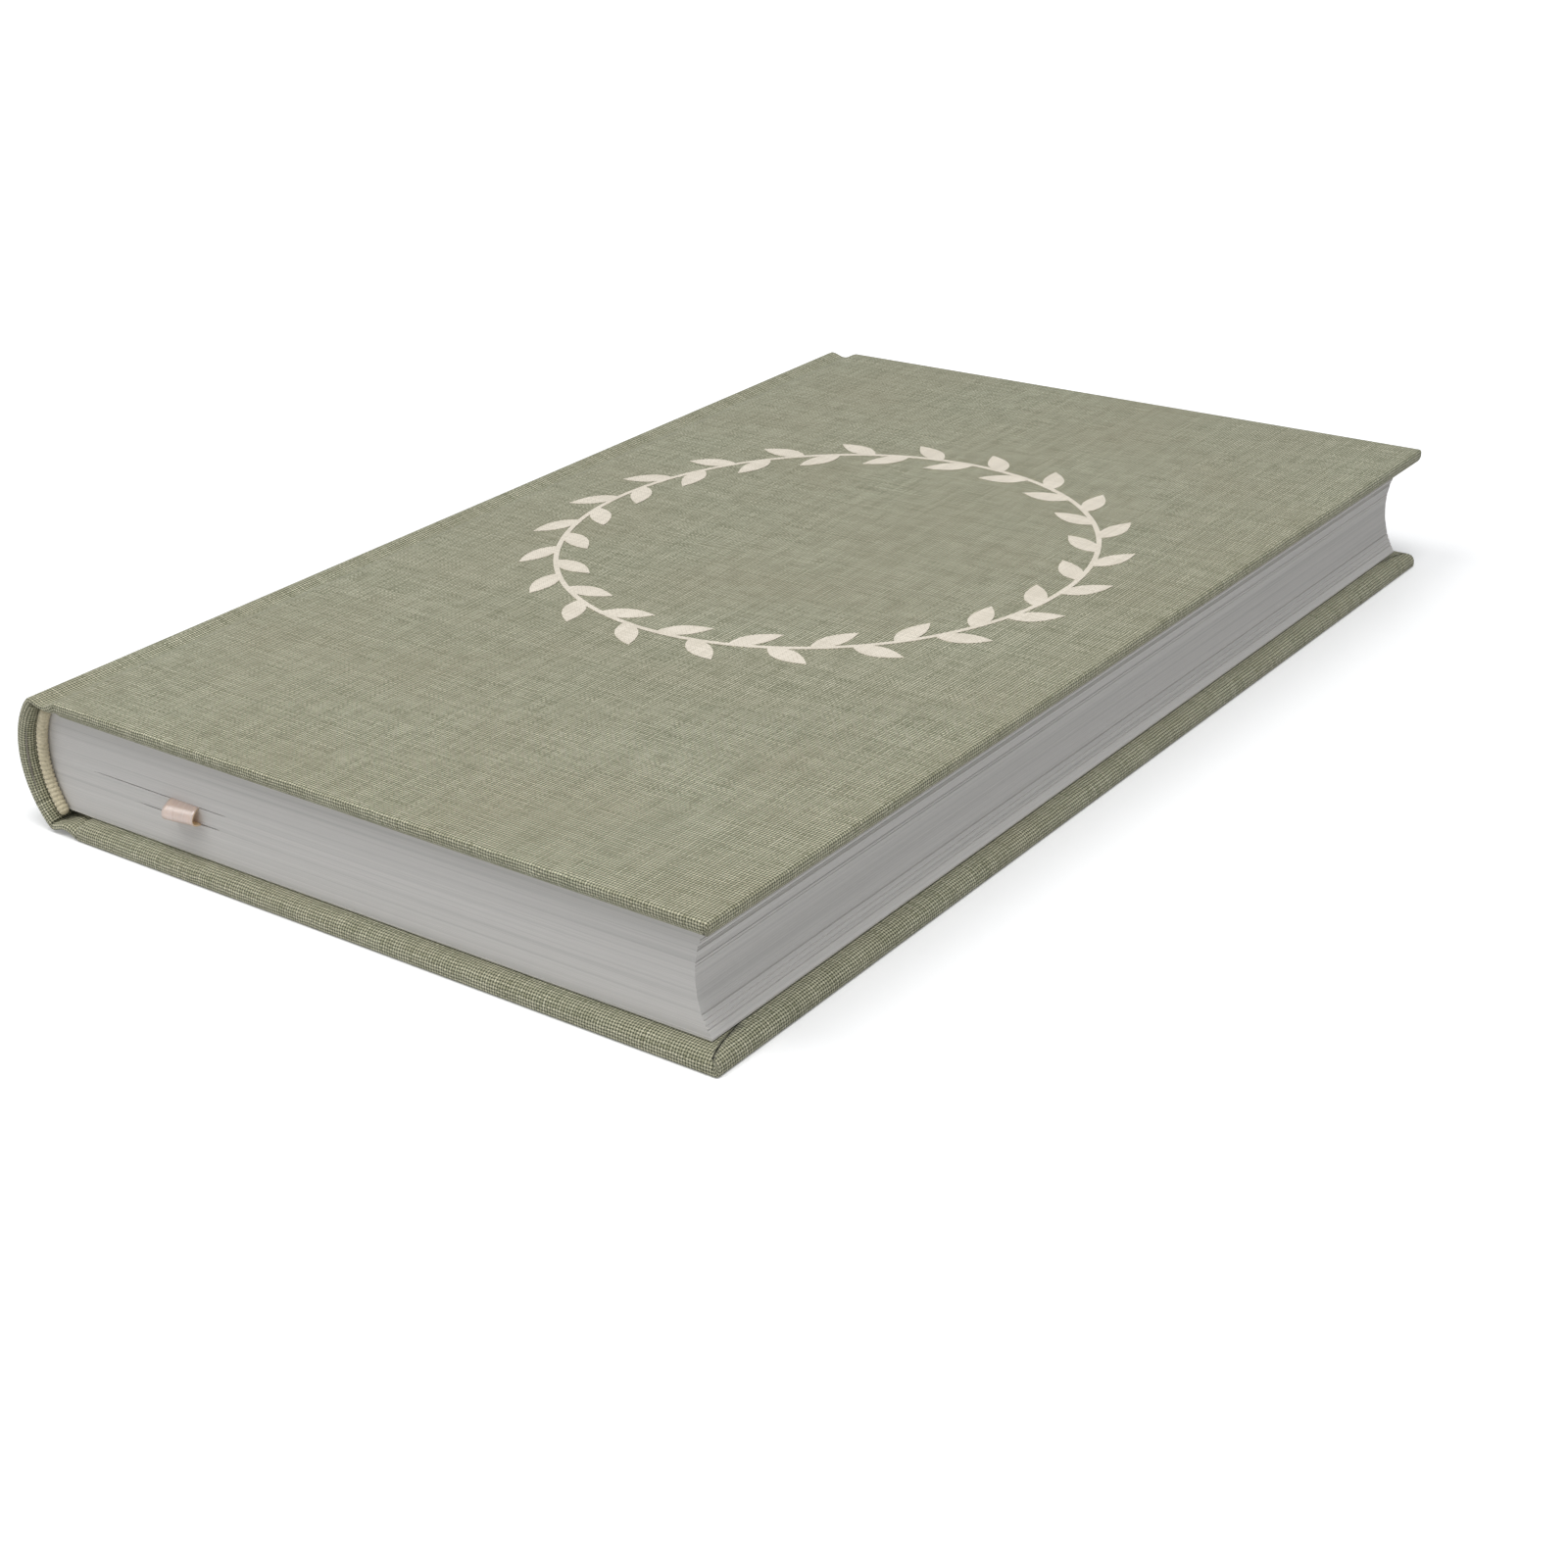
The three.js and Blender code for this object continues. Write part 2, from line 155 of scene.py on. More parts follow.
JOINT_LAP = 0.2  # how far it laps the pastedown, and how far it ends inside the pages' ends
LEAF_ROWS = 176  # rows of paper edges in the block
LEAF_OUT, LEAF_GROUP, LEAF_IN = 0.01, 0.03, 0.012  # scatter at the fore-edge, of groups, and at the ends
RIPPLE, RIPPLE_LENGTH = 0.004, 190  # of each row along the fore-edge
NOTCH_SHALLOW, NOTCH_DEEP = 0.12, 0.26  # where two folded sections of pages meet
rng = np.random.default_rng(7)


def sloped(points, angle, about=(0, 0)):
    """Turned about a line along y, so that the fore-edge drops."""
    p = np.array(points, float)
    x, w = p[:, 0] - about[0], p[:, 2] - about[1]
    p[:, 0] = about[0] + x * math.cos(angle) + w * math.sin(angle)
    p[:, 2] = about[1] - x * math.sin(angle) + w * math.cos(angle)
    return p


def row(points):
    """Section points to the row frame, in metres."""
    return (sloped(points, SLOPE) + [SHIFT_X, 0, LIFT]) * MM


def make(name, points, faces, side=1, cloth=None, smooth=True, on_cover=False, painted_seam_shade=None):
    """A mesh from section points. Side -1 mirrors it to the back half.
    Cloth holds each point's place in the unrolled cloth, and the last argument how much painted shade
    darkens it along a seam."""
    p = np.array(points, float)
    if on_cover:
        p = sloped(p, SLOPE, (SHOULDER_X, HINGE_W))
    p[:, 2] *= side
    if side < 0:
        faces = [tuple(reversed(f)) for f in faces]
    mesh = bpy.data.meshes.new(name)
    mesh.from_pydata([tuple(q) for q in row(p)], [], [tuple(int(i) for i in f) for f in faces])
    if cloth is not None:
        set_cloth(mesh, np.array(cloth, float) * [side, 1])
    # Painted shade along a seam: how much the cloth is darkened there, from 0 to 1.
    if painted_seam_shade is not None:
        at = mesh.attributes.new("painted_seam_shade", "FLOAT", "POINT")
        at.data.foreach_set("value", np.array(painted_seam_shade, np.float32))
    obj = bpy.data.objects.new(name, mesh)
    bpy.context.scene.collection.objects.link(obj)
    if smooth:
        mesh.polygons.foreach_set("use_smooth", [True] * len(mesh.polygons))
    mesh.validate()
    return obj


def set_cloth(mesh, places):
    """Stores each point's place in the unrolled cloth, in millimetres."""
    at = mesh.attributes.new("cloth", "FLOAT_VECTOR", "POINT")
    flat = np.column_stack([places, np.zeros(len(places))])
    at.data.foreach_set("vector", flat.astype(np.float32).ravel())


def weld(obj, distance):
    """Joins points that lie within this distance, in metres."""
    b = bmesh.new()
    b.from_mesh(obj.data)
    bmesh.ops.remove_doubles(b, verts=b.verts, dist=distance)
    bmesh.ops.dissolve_degenerate(b, edges=b.edges, dist=distance)
    b.to_mesh(obj.data)
    b.free()
    return obj


def face_outward(obj):
    """Turns the faces of a closed mesh outward."""
    b = bmesh.new()
    b.from_mesh(obj.data)
    bmesh.ops.recalc_face_normals(b, faces=b.faces)
    b.to_mesh(obj.data)
    b.free()


def settle(obj):
    """Applies the modifiers, so that the mesh is final."""
    depsgraph = bpy.context.evaluated_depsgraph_get()
    evaluated = obj.evaluated_get(depsgraph)
    mesh = bpy.data.meshes.new_from_object(evaluated, preserve_all_data_layers=True, depsgraph=depsgraph)
    obj.modifiers.clear()
    obj.data = mesh
    return obj


def thicken(obj, thickness, offset=-1):
    """Gives a sheet its thickness: behind its faces at offset -1, half on each side at 0."""
    solid = obj.modifiers.new("thickness", "SOLIDIFY")
    solid.thickness = thickness * MM
    solid.offset = offset
    return settle(obj)


def grid_faces(n, m, first=0):
    """Quads of an n by m grid of points, numbered row by row."""
    i, j = np.meshgrid(np.arange(n - 1), np.arange(m - 1), indexing="ij")
    a = (first + i * m + j).ravel()
    return np.column_stack([a, a + m, a + m + 1, a + 1]).tolist()


# Camera and stage

CAMERA_AT = (0.26835, -0.34237, 0.18895)
CAMERA_RIGHT = (0.79900, 0.59947, -0.04730)
CAMERA_UP = (-0.22654, 0.37294, 0.89977)
CAMERA_LENS = 58.05
SENSOR = 36
SKY = (0.93, 0.96, 1, 1)
SKY_STRENGTH = 0.36
LAMPS = (  # name, place in metres, size and power. Each is aimed at the middle.
    ("window", (-0.3, -0.5, 0.95), 0.6, 3.8),
    ("above", (0.26, -0.25, 1.0), 0.45, 5.0),
)
REACH = 6  # of the floor, in metres
BACKDROP = (0.95, 0.95, 0.95, 1)
FLOOR = (0.7, 0.7, 0.7, 1)
# The floor's own light grows with the distance, in metres.
NEAR, FAR, NEAR_GLOW, FAR_GLOW = 0.12, 0.5, 0.16, 1.0


def seen_plainly(tree):
    """1 for rays of the camera, of gloss and of glass, which see the backdrop white.
    0 for the light that falls on the object."""
    path = tree.nodes.new("ShaderNodeLightPath")
    value = path.outputs["Is Camera Ray"]
    for ray in ("Is Glossy Ray", "Is Transmission Ray"):
        larger = tree.nodes.new("ShaderNodeMath")
        larger.operation = "MAXIMUM"
        tree.links.new(value, larger.inputs[0])
        tree.links.new(path.outputs[ray], larger.inputs[1])
        value = larger.outputs[0]
    return value


def stage():
    set_camera()
    set_world()
    set_lamps()
    set_floor()
    bpy.context.scene.view_settings.view_transform = "Standard"


def set_camera():
    right, up = Vector(CAMERA_RIGHT).normalized(), Vector(CAMERA_UP).normalized()
    back = right.cross(up)
    obj = bpy.data.objects.new("camera", bpy.data.cameras.new("camera"))
    obj.data.sensor_width = SENSOR
    obj.data.lens = CAMERA_LENS
    obj.data.clip_start = 0.01
    obj.matrix_world = Matrix.Translation(CAMERA_AT) @ Matrix((right, up, back)).transposed().to_4x4()
    bpy.context.scene.collection.objects.link(obj)
    bpy.context.scene.camera = obj


def set_world():
    """Soft light from all round, seen as white."""
    world = bpy.data.worlds.new("studio")
    world.use_nodes = True
    background = world.node_tree.nodes["Background"]
    background.inputs["Color"].default_value = SKY
    background.inputs["Strength"].default_value = SKY_STRENGTH
    tree = world.node_tree
    white, choose = (tree.nodes.new(k) for k in ("ShaderNodeBackground", "ShaderNodeMixShader"))
    white.inputs["Color"].default_value = (1, 1, 1, 1)
    tree.links.new(seen_plainly(tree), choose.inputs[0])
    tree.links.new(background.outputs[0], choose.inputs[1])
    tree.links.new(white.outputs[0], choose.inputs[2])
    tree.links.new(choose.outputs[0], tree.nodes["World Output"].inputs[0])
    bpy.context.scene.world = world


def set_lamps():
    for name, at, size, power in LAMPS:
        light = bpy.data.lights.new(name, "AREA")
        light.shape = "DISK"
        light.size = size
        light.energy = power
        lamp = bpy.data.objects.new(name, light)
        lamp.location = at
        lamp.rotation_euler = (-Vector(at)).to_track_quat("-Z", "Y").to_euler()
        bpy.context.scene.collection.objects.link(lamp)


def set_floor():
    mesh = bpy.data.meshes.new("floor")
    corners = [(-REACH, -REACH, 0), (REACH, -REACH, 0), (REACH, REACH, 0), (-REACH, REACH, 0)]
    mesh.from_pydata(corners, [], [(0, 1, 2, 3)])
    ground = bpy.data.objects.new("floor", mesh)
    bpy.context.scene.collection.objects.link(ground)
    mesh.materials.append(floor_material())


def floor_material():
    """White where it is seen, darker as a source of light on the object.
    It keeps the object's shadow."""
    material = bpy.data.materials.new("floor")
    material.use_nodes = True
    shader = material.node_tree.nodes["Principled BSDF"]
    shader.inputs["Roughness"].default_value = 0.9
    shader.inputs["Emission Color"].default_value = BACKDROP
    tree = material.node_tree
    seen = seen_plainly(tree)
    tone, glow = (tree.nodes.new(k) for k in ("ShaderNodeMix", "ShaderNodeMath"))
    tone.data_type = "RGBA"
    tone.inputs[6].default_value = FLOOR
    tone.inputs[7].default_value = BACKDROP
    glow.operation = "MULTIPLY"
    kinds = ("ShaderNodeNewGeometry", "ShaderNodeVectorMath", "ShaderNodeMapRange")
    where, away, far = (tree.nodes.new(k) for k in kinds)
    away.operation = "LENGTH"
    for k, value in enumerate((NEAR, FAR, NEAR_GLOW, FAR_GLOW), 1):
        far.inputs[k].default_value = value
    tree.links.new(where.outputs["Position"], away.inputs[0])
    tree.links.new(away.outputs["Value"], far.inputs[0])
    tree.links.new(far.outputs[0], glow.inputs[1])
    tree.links.new(seen, tone.inputs[0])
    tree.links.new(seen, glow.inputs[0])
    tree.links.new(tone.outputs[2], shader.inputs["Base Color"])
    tree.links.new(glow.outputs[0], shader.inputs["Emission Strength"])
    return material


# Materials


class Nodes:
    """Short words for building a material's nodes."""

    def __init__(self, name, roughness):
        self.material = bpy.data.materials.new(name)
        self.material.use_nodes = True
        self.tree = self.material.node_tree
        self.shader = self.tree.nodes["Principled BSDF"]
        self.shader.inputs["Roughness"].default_value = roughness

    def put(self, socket, value):
        if isinstance(value, bpy.types.NodeSocket):
            self.tree.links.new(value, socket)
        else:
            socket.default_value = value

    def node(self, kind, out=0, settings=None, **inputs):
        """A node's output. Its inputs are given by name, or by number as i0, i1 and so on."""
        made = self.tree.nodes.new(kind)
        for key, value in (settings or {}).items():
            setattr(made, key, value)
        for key, value in inputs.items():
            numbered = key[0] == "i" and key[1:].isdigit()
            self.put(made.inputs[int(key[1:]) if numbered else key], value)
        return made.outputs[out]

    def math(self, operation, a, b=0.0, c=0.0):
        return self.node("ShaderNodeMath", settings={"operation": operation}, i0=a, i1=b, i2=c)

    def mix(self, factor, a, b):
        return self.node("ShaderNodeMix", 2, {"data_type": "RGBA"}, i0=factor, i6=a, i7=b)

    def noise(self, vector, scale, detail=2.0, roughness=0.5):
        settings = dict(Vector=vector, Scale=scale, Detail=detail, Roughness=roughness)
        return self.node("ShaderNodeTexNoise", **settings)

    def stretch(self, vector, by):
        return self.node("ShaderNodeVectorMath", settings={"operation": "MULTIPLY"}, i0=vector, i1=by)

    def ramp(self, value, low, high):
        """Value from low to high becomes 0 to 1."""
        return self.node("ShaderNodeMapRange", Value=value, i1=low, i2=high)

    def place(self):
        """The place in the row frame at rest, in millimetres."""
        where = self.node("ShaderNodeTexCoord", 3)
        return self.stretch(where, (1000, 1000, 1000))

    def cloth_place(self):
        """The place in the unrolled cloth, in millimetres."""
        return self.node("ShaderNodeAttribute", 1, {"attribute_name": "cloth"})

    def bump(self, height, distance, strength):
        made = self.node("ShaderNodeBump", Height=height, Distance=distance * MM, Strength=strength)
        self.put(self.shader.inputs["Normal"], made)

    def color(self, value):
        self.put(self.shader.inputs["Base Color"], value)


def srgb(r, g, b):
    """An 8-bit colour as Blender's linear colour."""
    linear = [c / 255 / 12.92 if c <= 10 else ((c / 255 + 0.055) / 1.055) ** 2.4 for c in (r, g, b)]
    return (*linear, 1)


PITCH = 0.52  # of the threads
WANDER = 0.34  # how far they stray
UNDULATION = 0.38  # how deep they dip under each other, as a share of their height


def weave(n, where):
    """Height of a plain weave, which thread is on top, and each thread's own shade."""
    wander = n.node("ShaderNodeTexNoise", 1, Vector=where, Scale=0.35, Detail=2.0)
    add = {"operation": "MULTIPLY_ADD"}
    away = n.node("ShaderNodeVectorMath", settings=add, i0=wander, i1=(WANDER, WANDER, 0), i2=where)
    split = n.tree.nodes.new("ShaderNodeSeparateXYZ")
    n.put(split.inputs[0], away)
    u = n.math("DIVIDE", split.outputs[0], PITCH)
    v = n.math("DIVIDE", split.outputs[1], PITCH)
    heights, shades = [], []
    # The threads one way go over where those of the other way go under, half a turn apart.
    for along, across, phase in ((v, u, 0.0), (u, v, math.pi)):
        body = n.math("ABSOLUTE", n.math("SINE", n.math("MULTIPLY", across, math.pi)))
        index = n.math("FLOOR", across)
        swing = n.math("MULTIPLY_ADD", along, math.pi, n.math("MULTIPLY_ADD", index, math.pi, phase))
        over = n.math("MULTIPLY_ADD", n.math("SINE", swing), UNDULATION, 1 - UNDULATION)
        heights.append(n.math("MULTIPLY", body, over))
        thread = n.math("ADD", index, phase)
        shades.append(n.node("ShaderNodeTexWhiteNoise", 0, {"noise_dimensions": "1D"}, W=thread))
    top = n.math("MAXIMUM", *heights)
    first = n.math("GREATER_THAN", heights[0], heights[1])
    shade = n.node("ShaderNodeMix", 0, {"data_type": "FLOAT"}, i0=first, i2=shades[1], i3=shades[0])
    return top, first, shade


SLUB_ALONG, SLUB_ACROSS = 0.16, 1.5  # slubs to a millimetre


def slubs(n, where):
    """Streaks of thicker and thinner yarn both ways, from 0 to 1."""
    weft = n.noise(n.stretch(where, (SLUB_ALONG, SLUB_ACROSS, 1)), 1.0, 3.0, 0.6)
    warp = n.noise(n.stretch(where, (SLUB_ACROSS, SLUB_ALONG, 1)), 1.0, 3.0, 0.6)
    return weft, warp


def cloth_material():
    """Linen of two shades of green, with painted shade in the gaps between the threads and in the seams of
    the turn-ins.
    """
    n = Nodes("linen", 0.88)
    where = n.cloth_place()
    top, first, shade = weave(n, where)
    weft, warp = slubs(n, where)
    warp_tone = n.mix(n.ramp(warp, 0.36, 0.64), srgb(147, 149, 118), srgb(223, 223, 195))
    weft_tone = n.mix(n.ramp(weft, 0.36, 0.64), srgb(133, 136, 103), srgb(235, 231, 202))
    thread = n.mix(first, weft_tone, warp_tone)
    darker, lighter = n.mix(0.3, thread, srgb(131, 133, 101)), n.mix(0.4, thread, srgb(229, 223, 196))
    thread = n.mix(n.ramp(shade, 0, 1), darker, lighter)
    cloud = n.noise(where, 0.035, 2.0)
    thread = n.mix(n.ramp(cloud, 0.3, 0.7), thread, n.mix(0.3, thread, srgb(182, 170, 140)))
    # Painted shade: where the weave lies low, between the threads, the colour goes down to a dark green.
    woven = n.mix(n.ramp(top, 0.34, 0.82), srgb(60, 64, 40), thread)
    # Painted shade along the seams of the turn-ins, which the cloth's mesh marks from 0 to 1.
    painted_seam_shade = n.node("ShaderNodeAttribute", 2, {"attribute_name": "painted_seam_shade"})
    n.color(n.mix(n.math("MULTIPLY", painted_seam_shade, 0.85), woven, srgb(34, 36, 24)))
    n.put(n.shader.inputs["Sheen Weight"], 0.12)
    n.put(n.shader.inputs["Sheen Roughness"], 0.6)
    n.bump(n.math("ADD", top, n.math("MULTIPLY", weft, 0.7)), 0.16, 0.9)
    return n.material


def stamp_material():
    """Cream foil pressed into the cloth: the threads show through it, and painted shade darkens it where
    the weave lies low.
    """
    n = Nodes("stamp", 0.62)
    top, _, shade = weave(n, n.cloth_place())
    tone = n.mix(n.ramp(shade, 0, 1), srgb(214, 205, 188), srgb(232, 223, 207))
    # Painted shade: the foil is darker where the weave lies low.
    n.color(n.mix(n.ramp(top, 0.1, 0.34), srgb(158, 150, 128), tone))
    n.bump(top, 0.05, 0.5)
    return n.material


def page_material():
    """Cut edges of many sheets: fine lines along them, and broader ones a little darker."""
    n = Nodes("page_edges", 0.8)
    where = n.place()
    fine = n.noise(n.stretch(where, (0.012, 0.012, 9)), 1.0, 3.0, 0.7)
    broad = n.noise(n.stretch(where, (0.006, 0.006, 1.6)), 1.0, 2.0, 0.6)
    tone = n.mix(n.ramp(fine, 0.3, 0.7), srgb(208, 205, 201), srgb(221, 218, 214))
    tone = n.mix(n.ramp(broad, 0.46, 0.74), tone, srgb(199, 197, 193))
    n.color(tone)
    n.put(n.shader.inputs["Specular IOR Level"], 0.2)
    n.bump(fine, 0.03, 0.5)
    return n.material


def paper_material():
    """Off-white endpaper, faintly clouded."""
    n = Nodes("endpaper", 0.85)
    where = n.place()
    cloud = n.noise(where, 0.05, 3.0)
    tooth = n.noise(where, 3.0, 3.0)
    n.color(n.mix(n.ramp(cloud, 0.3, 0.7), srgb(226, 223, 214), srgb(233, 230, 223)))
    n.bump(tooth, 0.02, 0.4)
    return n.material


def thread_material():
    """Cream thread of the head and tail bands."""
    n = Nodes("band_thread", 0.7)
    where = n.place()
    fibre = n.noise(where, 2.4, 3.0)
    n.color(n.mix(n.ramp(fibre, 0.3, 0.7), srgb(190, 180, 150), srgb(224, 212, 182)))
    n.put(n.shader.inputs["Sheen Weight"], 0.2)
    n.bump(fibre, 0.04, 0.5)
    return n.material


SHINE_THROUGH = 0.22  # share of the light


def satin_material(name, dark, light):
    """Satin with fine ribs and gloss along them. Some of the light comes through."""
    n = Nodes(name, 0.27)
    where = n.cloth_place()
    ribs = n.noise(n.stretch(where, (9, 0.25, 1)), 1.0, 2.0)
    n.color(n.mix(n.ramp(ribs, 0.3, 0.7), dark, light))
    n.put(n.shader.inputs["Sheen Weight"], 0.35)
    n.put(n.shader.inputs["Specular IOR Level"], 0.9)
    n.put(n.shader.inputs["IOR"], 1.9)
    n.put(n.shader.inputs["Anisotropic"], 0.5)
    n.put(n.shader.inputs["Subsurface Weight"], 0.4)
    n.put(n.shader.inputs["Subsurface Radius"], (1.0, 0.8, 0.6))
    n.put(n.shader.inputs["Subsurface Scale"], 0.001)
    n.bump(ribs, 0.05, 0.9)
    through = n.node("ShaderNodeBsdfTranslucent", Color=light)
    both = n.node("ShaderNodeMixShader", i0=SHINE_THROUGH, i1=n.shader.outputs[0], i2=through)
    n.put(n.tree.nodes["Material Output"].inputs[0], both)
    return n.material


def fibre_material(name, dark, light, scale, roughness=0.9):
    """Grey board, kraft paper or gauze: matted fibres in two close tones."""
    n = Nodes(name, roughness)
    where = n.place()
    fibre = n.noise(n.stretch(where, (1, 0.6, 1)), scale, 4.0, 0.7)
    n.color(n.mix(n.ramp(fibre, 0.3, 0.7), dark, light))
    n.bump(fibre, 0.05, 0.5)
    return n.material


def paint(obj, material):
    obj.data.materials.clear()
    obj.data.materials.append(material)


# Folding cloth over an edge


def roundings(stack):
    """Outer and inner rounding of a fold round this thickness: down, out, down, in."""
    thin = min(1.0, stack / COVER)
    return EDGE_DOWN * thin, EDGE_OUT * thin, INNER_DOWN * thin, INNER_IN * thin


def fold(stack, reach):
    """Steps of a fold over an edge of this thickness: out of the plane, down and unrolled length."""
    outer_down, outer_out, inner_down, inner_in = roundings(stack)
    turn = np.linspace(0, math.pi / 2, OUTER_STEPS + 1)
    back = np.linspace(0, math.pi / 2, INNER_STEPS + 1)
    start = inner_in - outer_out
    inward = -start - (reach - inner_in) * (np.arange(1, IN_STEPS + 1) / IN_STEPS) ** 1.5
    out = np.concatenate([outer_out * np.sin(turn), outer_out - inner_in * (1 - np.cos(back)), inward])
    side = stack - inner_down + inner_down * np.sin(back)
    down = np.concatenate([outer_down * (1 - np.cos(turn)), side, np.full(IN_STEPS, stack)])
    length = np.concatenate([[0], np.cumsum(np.hypot(np.diff(out), np.diff(down)))])
    return out, down, length


def out_of(stack):
    """How far a fold stands out of the edge's start, seen from above."""
    return EDGE_OUT * np.minimum(1, np.array(stack) / COVER)


def depth_at(inside, stack=COVER):
    """Depth of the turned-in cloth this far inside the edge."""
    _, _, inner_down, inner_in = roundings(stack)
    off = min(1.0, max(0.0, 1 - inside / inner_in))
    return stack - inner_down + inner_down * math.sqrt(1 - off * off)


def profile_frame(points):
    """Length along a profile, and its outward normals."""
    p = np.array(points, float)
    tangent = np.gradient(p, axis=0)
    tangent /= np.linalg.norm(tangent, axis=1)[:, None]
    length = np.concatenate([[0], np.cumsum(np.linalg.norm(np.diff(p, axis=0), axis=1))])
    return length, np.column_stack([-tangent[:, 1], tangent[:, 0]])


def wrapped(name, profile, stacks, reach, u0, side=1, on_cover=False, columns=41):
    """A sheet along y with this profile, folded over and in at both ends."""
    p = np.array(profile, float)
    length, normal = profile_frame(p)
    reach = np.broadcast_to(reach, len(p))
    rows, places = [], []
    for i in range(len(p)):
        out, down, unrolled = fold(stacks[i], reach[i])
        y = np.linspace(-1, 1, columns) * (Y_END - out_of(stacks[i]))
        ys = np.concatenate([(y[0] - out[1:])[::-1], y, y[-1] + out[1:]])
        vs = np.concatenate([(y[0] - unrolled[1:])[::-1], y, y[-1] + unrolled[1:]])
        ds = np.concatenate([down[1:][::-1], np.zeros(columns), down[1:]])
        rows.append(np.column_stack([p[i, 0] - normal[i, 0] * ds, ys, p[i, 1] - normal[i, 1] * ds]))
        places.append(np.column_stack([np.full(len(vs), u0 + length[i]), vs]))
    faces = grid_faces(len(p), len(rows[0]))
    return make(name, np.concatenate(rows), faces, side, np.concatenate(places), on_cover=on_cover)


# The case


def bend(obj, which):
    """Bakes a piece's place into its mesh. The front and the back are done alike."""
    if which == "front":
        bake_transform(obj)
    else:
        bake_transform(obj)


GROOVE = (SHOULDER_X + GROOVE_X, CASE_HALF - GROOVE_DEPTH)


def ease(a, b, steps):
    """A line from a to b that starts and ends level."""
    t = np.linspace(0, 1, steps + 1)
    return np.column_stack([a[0] + (b[0] - a[0]) * t, a[1] + (b[1] - a[1]) * (1 - np.cos(np.pi * t)) / 2])


def joint_line():
    """The joint's outside, from the ridge down into the groove and up onto the board."""
    fall = ease((RIDGE_X, CASE_HALF - RIDGE_DROP), GROOVE, 10)
    climb = ease(GROOVE, (BOARD_X + JOINT_RISE, CASE_HALF), 20)
    return np.concatenate([fall, climb[1:]])


def spine_line():
    """The spine's outside, from the back ridge round to the front one."""
    turn = np.linspace(math.pi / 2, math.pi - RIDGE_ANGLE, 9)
    top = np.column_stack([RIDGE_X + RIDGE_RADIUS * np.cos(turn), RIDGE_W + RIDGE_RADIUS * np.sin(turn)])
    sweep = np.linspace(math.pi - RIDGE_ANGLE, math.pi + RIDGE_ANGLE, 49)[1:-1]
    rise = np.cos((sweep - math.pi) / RIDGE_ANGLE * math.pi / 2) ** 0.7
    middle = (SPINE_RADIUS + SPINE_BULGE * rise)[:, None] * np.column_stack([np.cos(sweep), np.sin(sweep)])
    bottom = top[::-1] * [1, -1]
    return np.concatenate([top, middle, bottom])[::-1]


def case_pieces(linen):
    """The cover cloth: on the spine, across the two joints and on the boards.
    Gives back the length of cloth from the spine's middle to the joint's end on the board."""
    line = spine_line()
    length, _ = profile_frame(line)
    half = length[-1] / 2
    inside = np.clip((half - np.abs(length - half)) / STACK_GROWTH, 0, 1)
    stacks = RIDGE_STACK + (SPINE_STACK - RIDGE_STACK) * inside
    cut = int(np.argmax(line[:, 1] >= SPINE_CUT))
    first = len(line) - 1 - cut
    whole = slice(first, cut + 1)
    spine = wrapped("spine_linen", line[whole], stacks[whole], SPINE_TURN_IN, length[first] - half)
    thicken(spine, CLOTH)
    paint(spine, linen)
    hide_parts("spine_cloth")
    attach(spine, "block")
    over = joint_line()
    across, _ = profile_frame(over)
    at_board = int(np.argmin(np.abs(over[:, 0] - BOARD_X)))
    for side, which in ((1, "front"), (-1, "back")):
        past = over[1 : at_board + 1]
        at = [RIDGE_X, RIDGE_X + 2, GROOVE[0], BOARD_X]
        past_stacks = np.interp(past[:, 0], at, [RIDGE_STACK, JOINT_STACK, JOINT_STACK, BOARD_STACK])
        strip = np.concatenate([line[cut:], past])
        strip_stacks = np.concatenate([stacks[cut:], past_stacks])
        reach = [SPINE_TURN_IN] * (len(line) - cut) + [TURN_IN] * len(past)
        joint = wrapped(f"{which}_joint_linen", strip, strip_stacks, reach, length[cut] - half, side, True)
        thicken(joint, CLOTH)
        paint(joint, linen)
        start, end = row([(line[cut, 0], 0, side * CASE_HALF), (strip[-1, 0], 0, side * CASE_HALF)])
        bend(joint, which)
        cover = cover_cloth(which, side, over[at_board:], half + across[at_board])
        weld(cover, WELD_WIDE)
        thicken(cover, CLOTH)
        paint(cover, linen)
        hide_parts(f"{which}_cloth")
        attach(cover, f"{which}_cover")
    return half + across[-1]


def seam_inside(along):
    """How far inside the fore-edge the seam runs, this far from the tail or head."""
    return SEAM_START + SEAM_LEAN * (along + EDGE_OUT) ** SEAM_CURVE


def seam_along(inside):
    """And how far from the tail or head, this far inside the fore-edge."""
    return max(0.0, (max(0.0, inside - SEAM_START) / SEAM_LEAN) ** (1 / SEAM_CURVE) - EDGE_OUT)


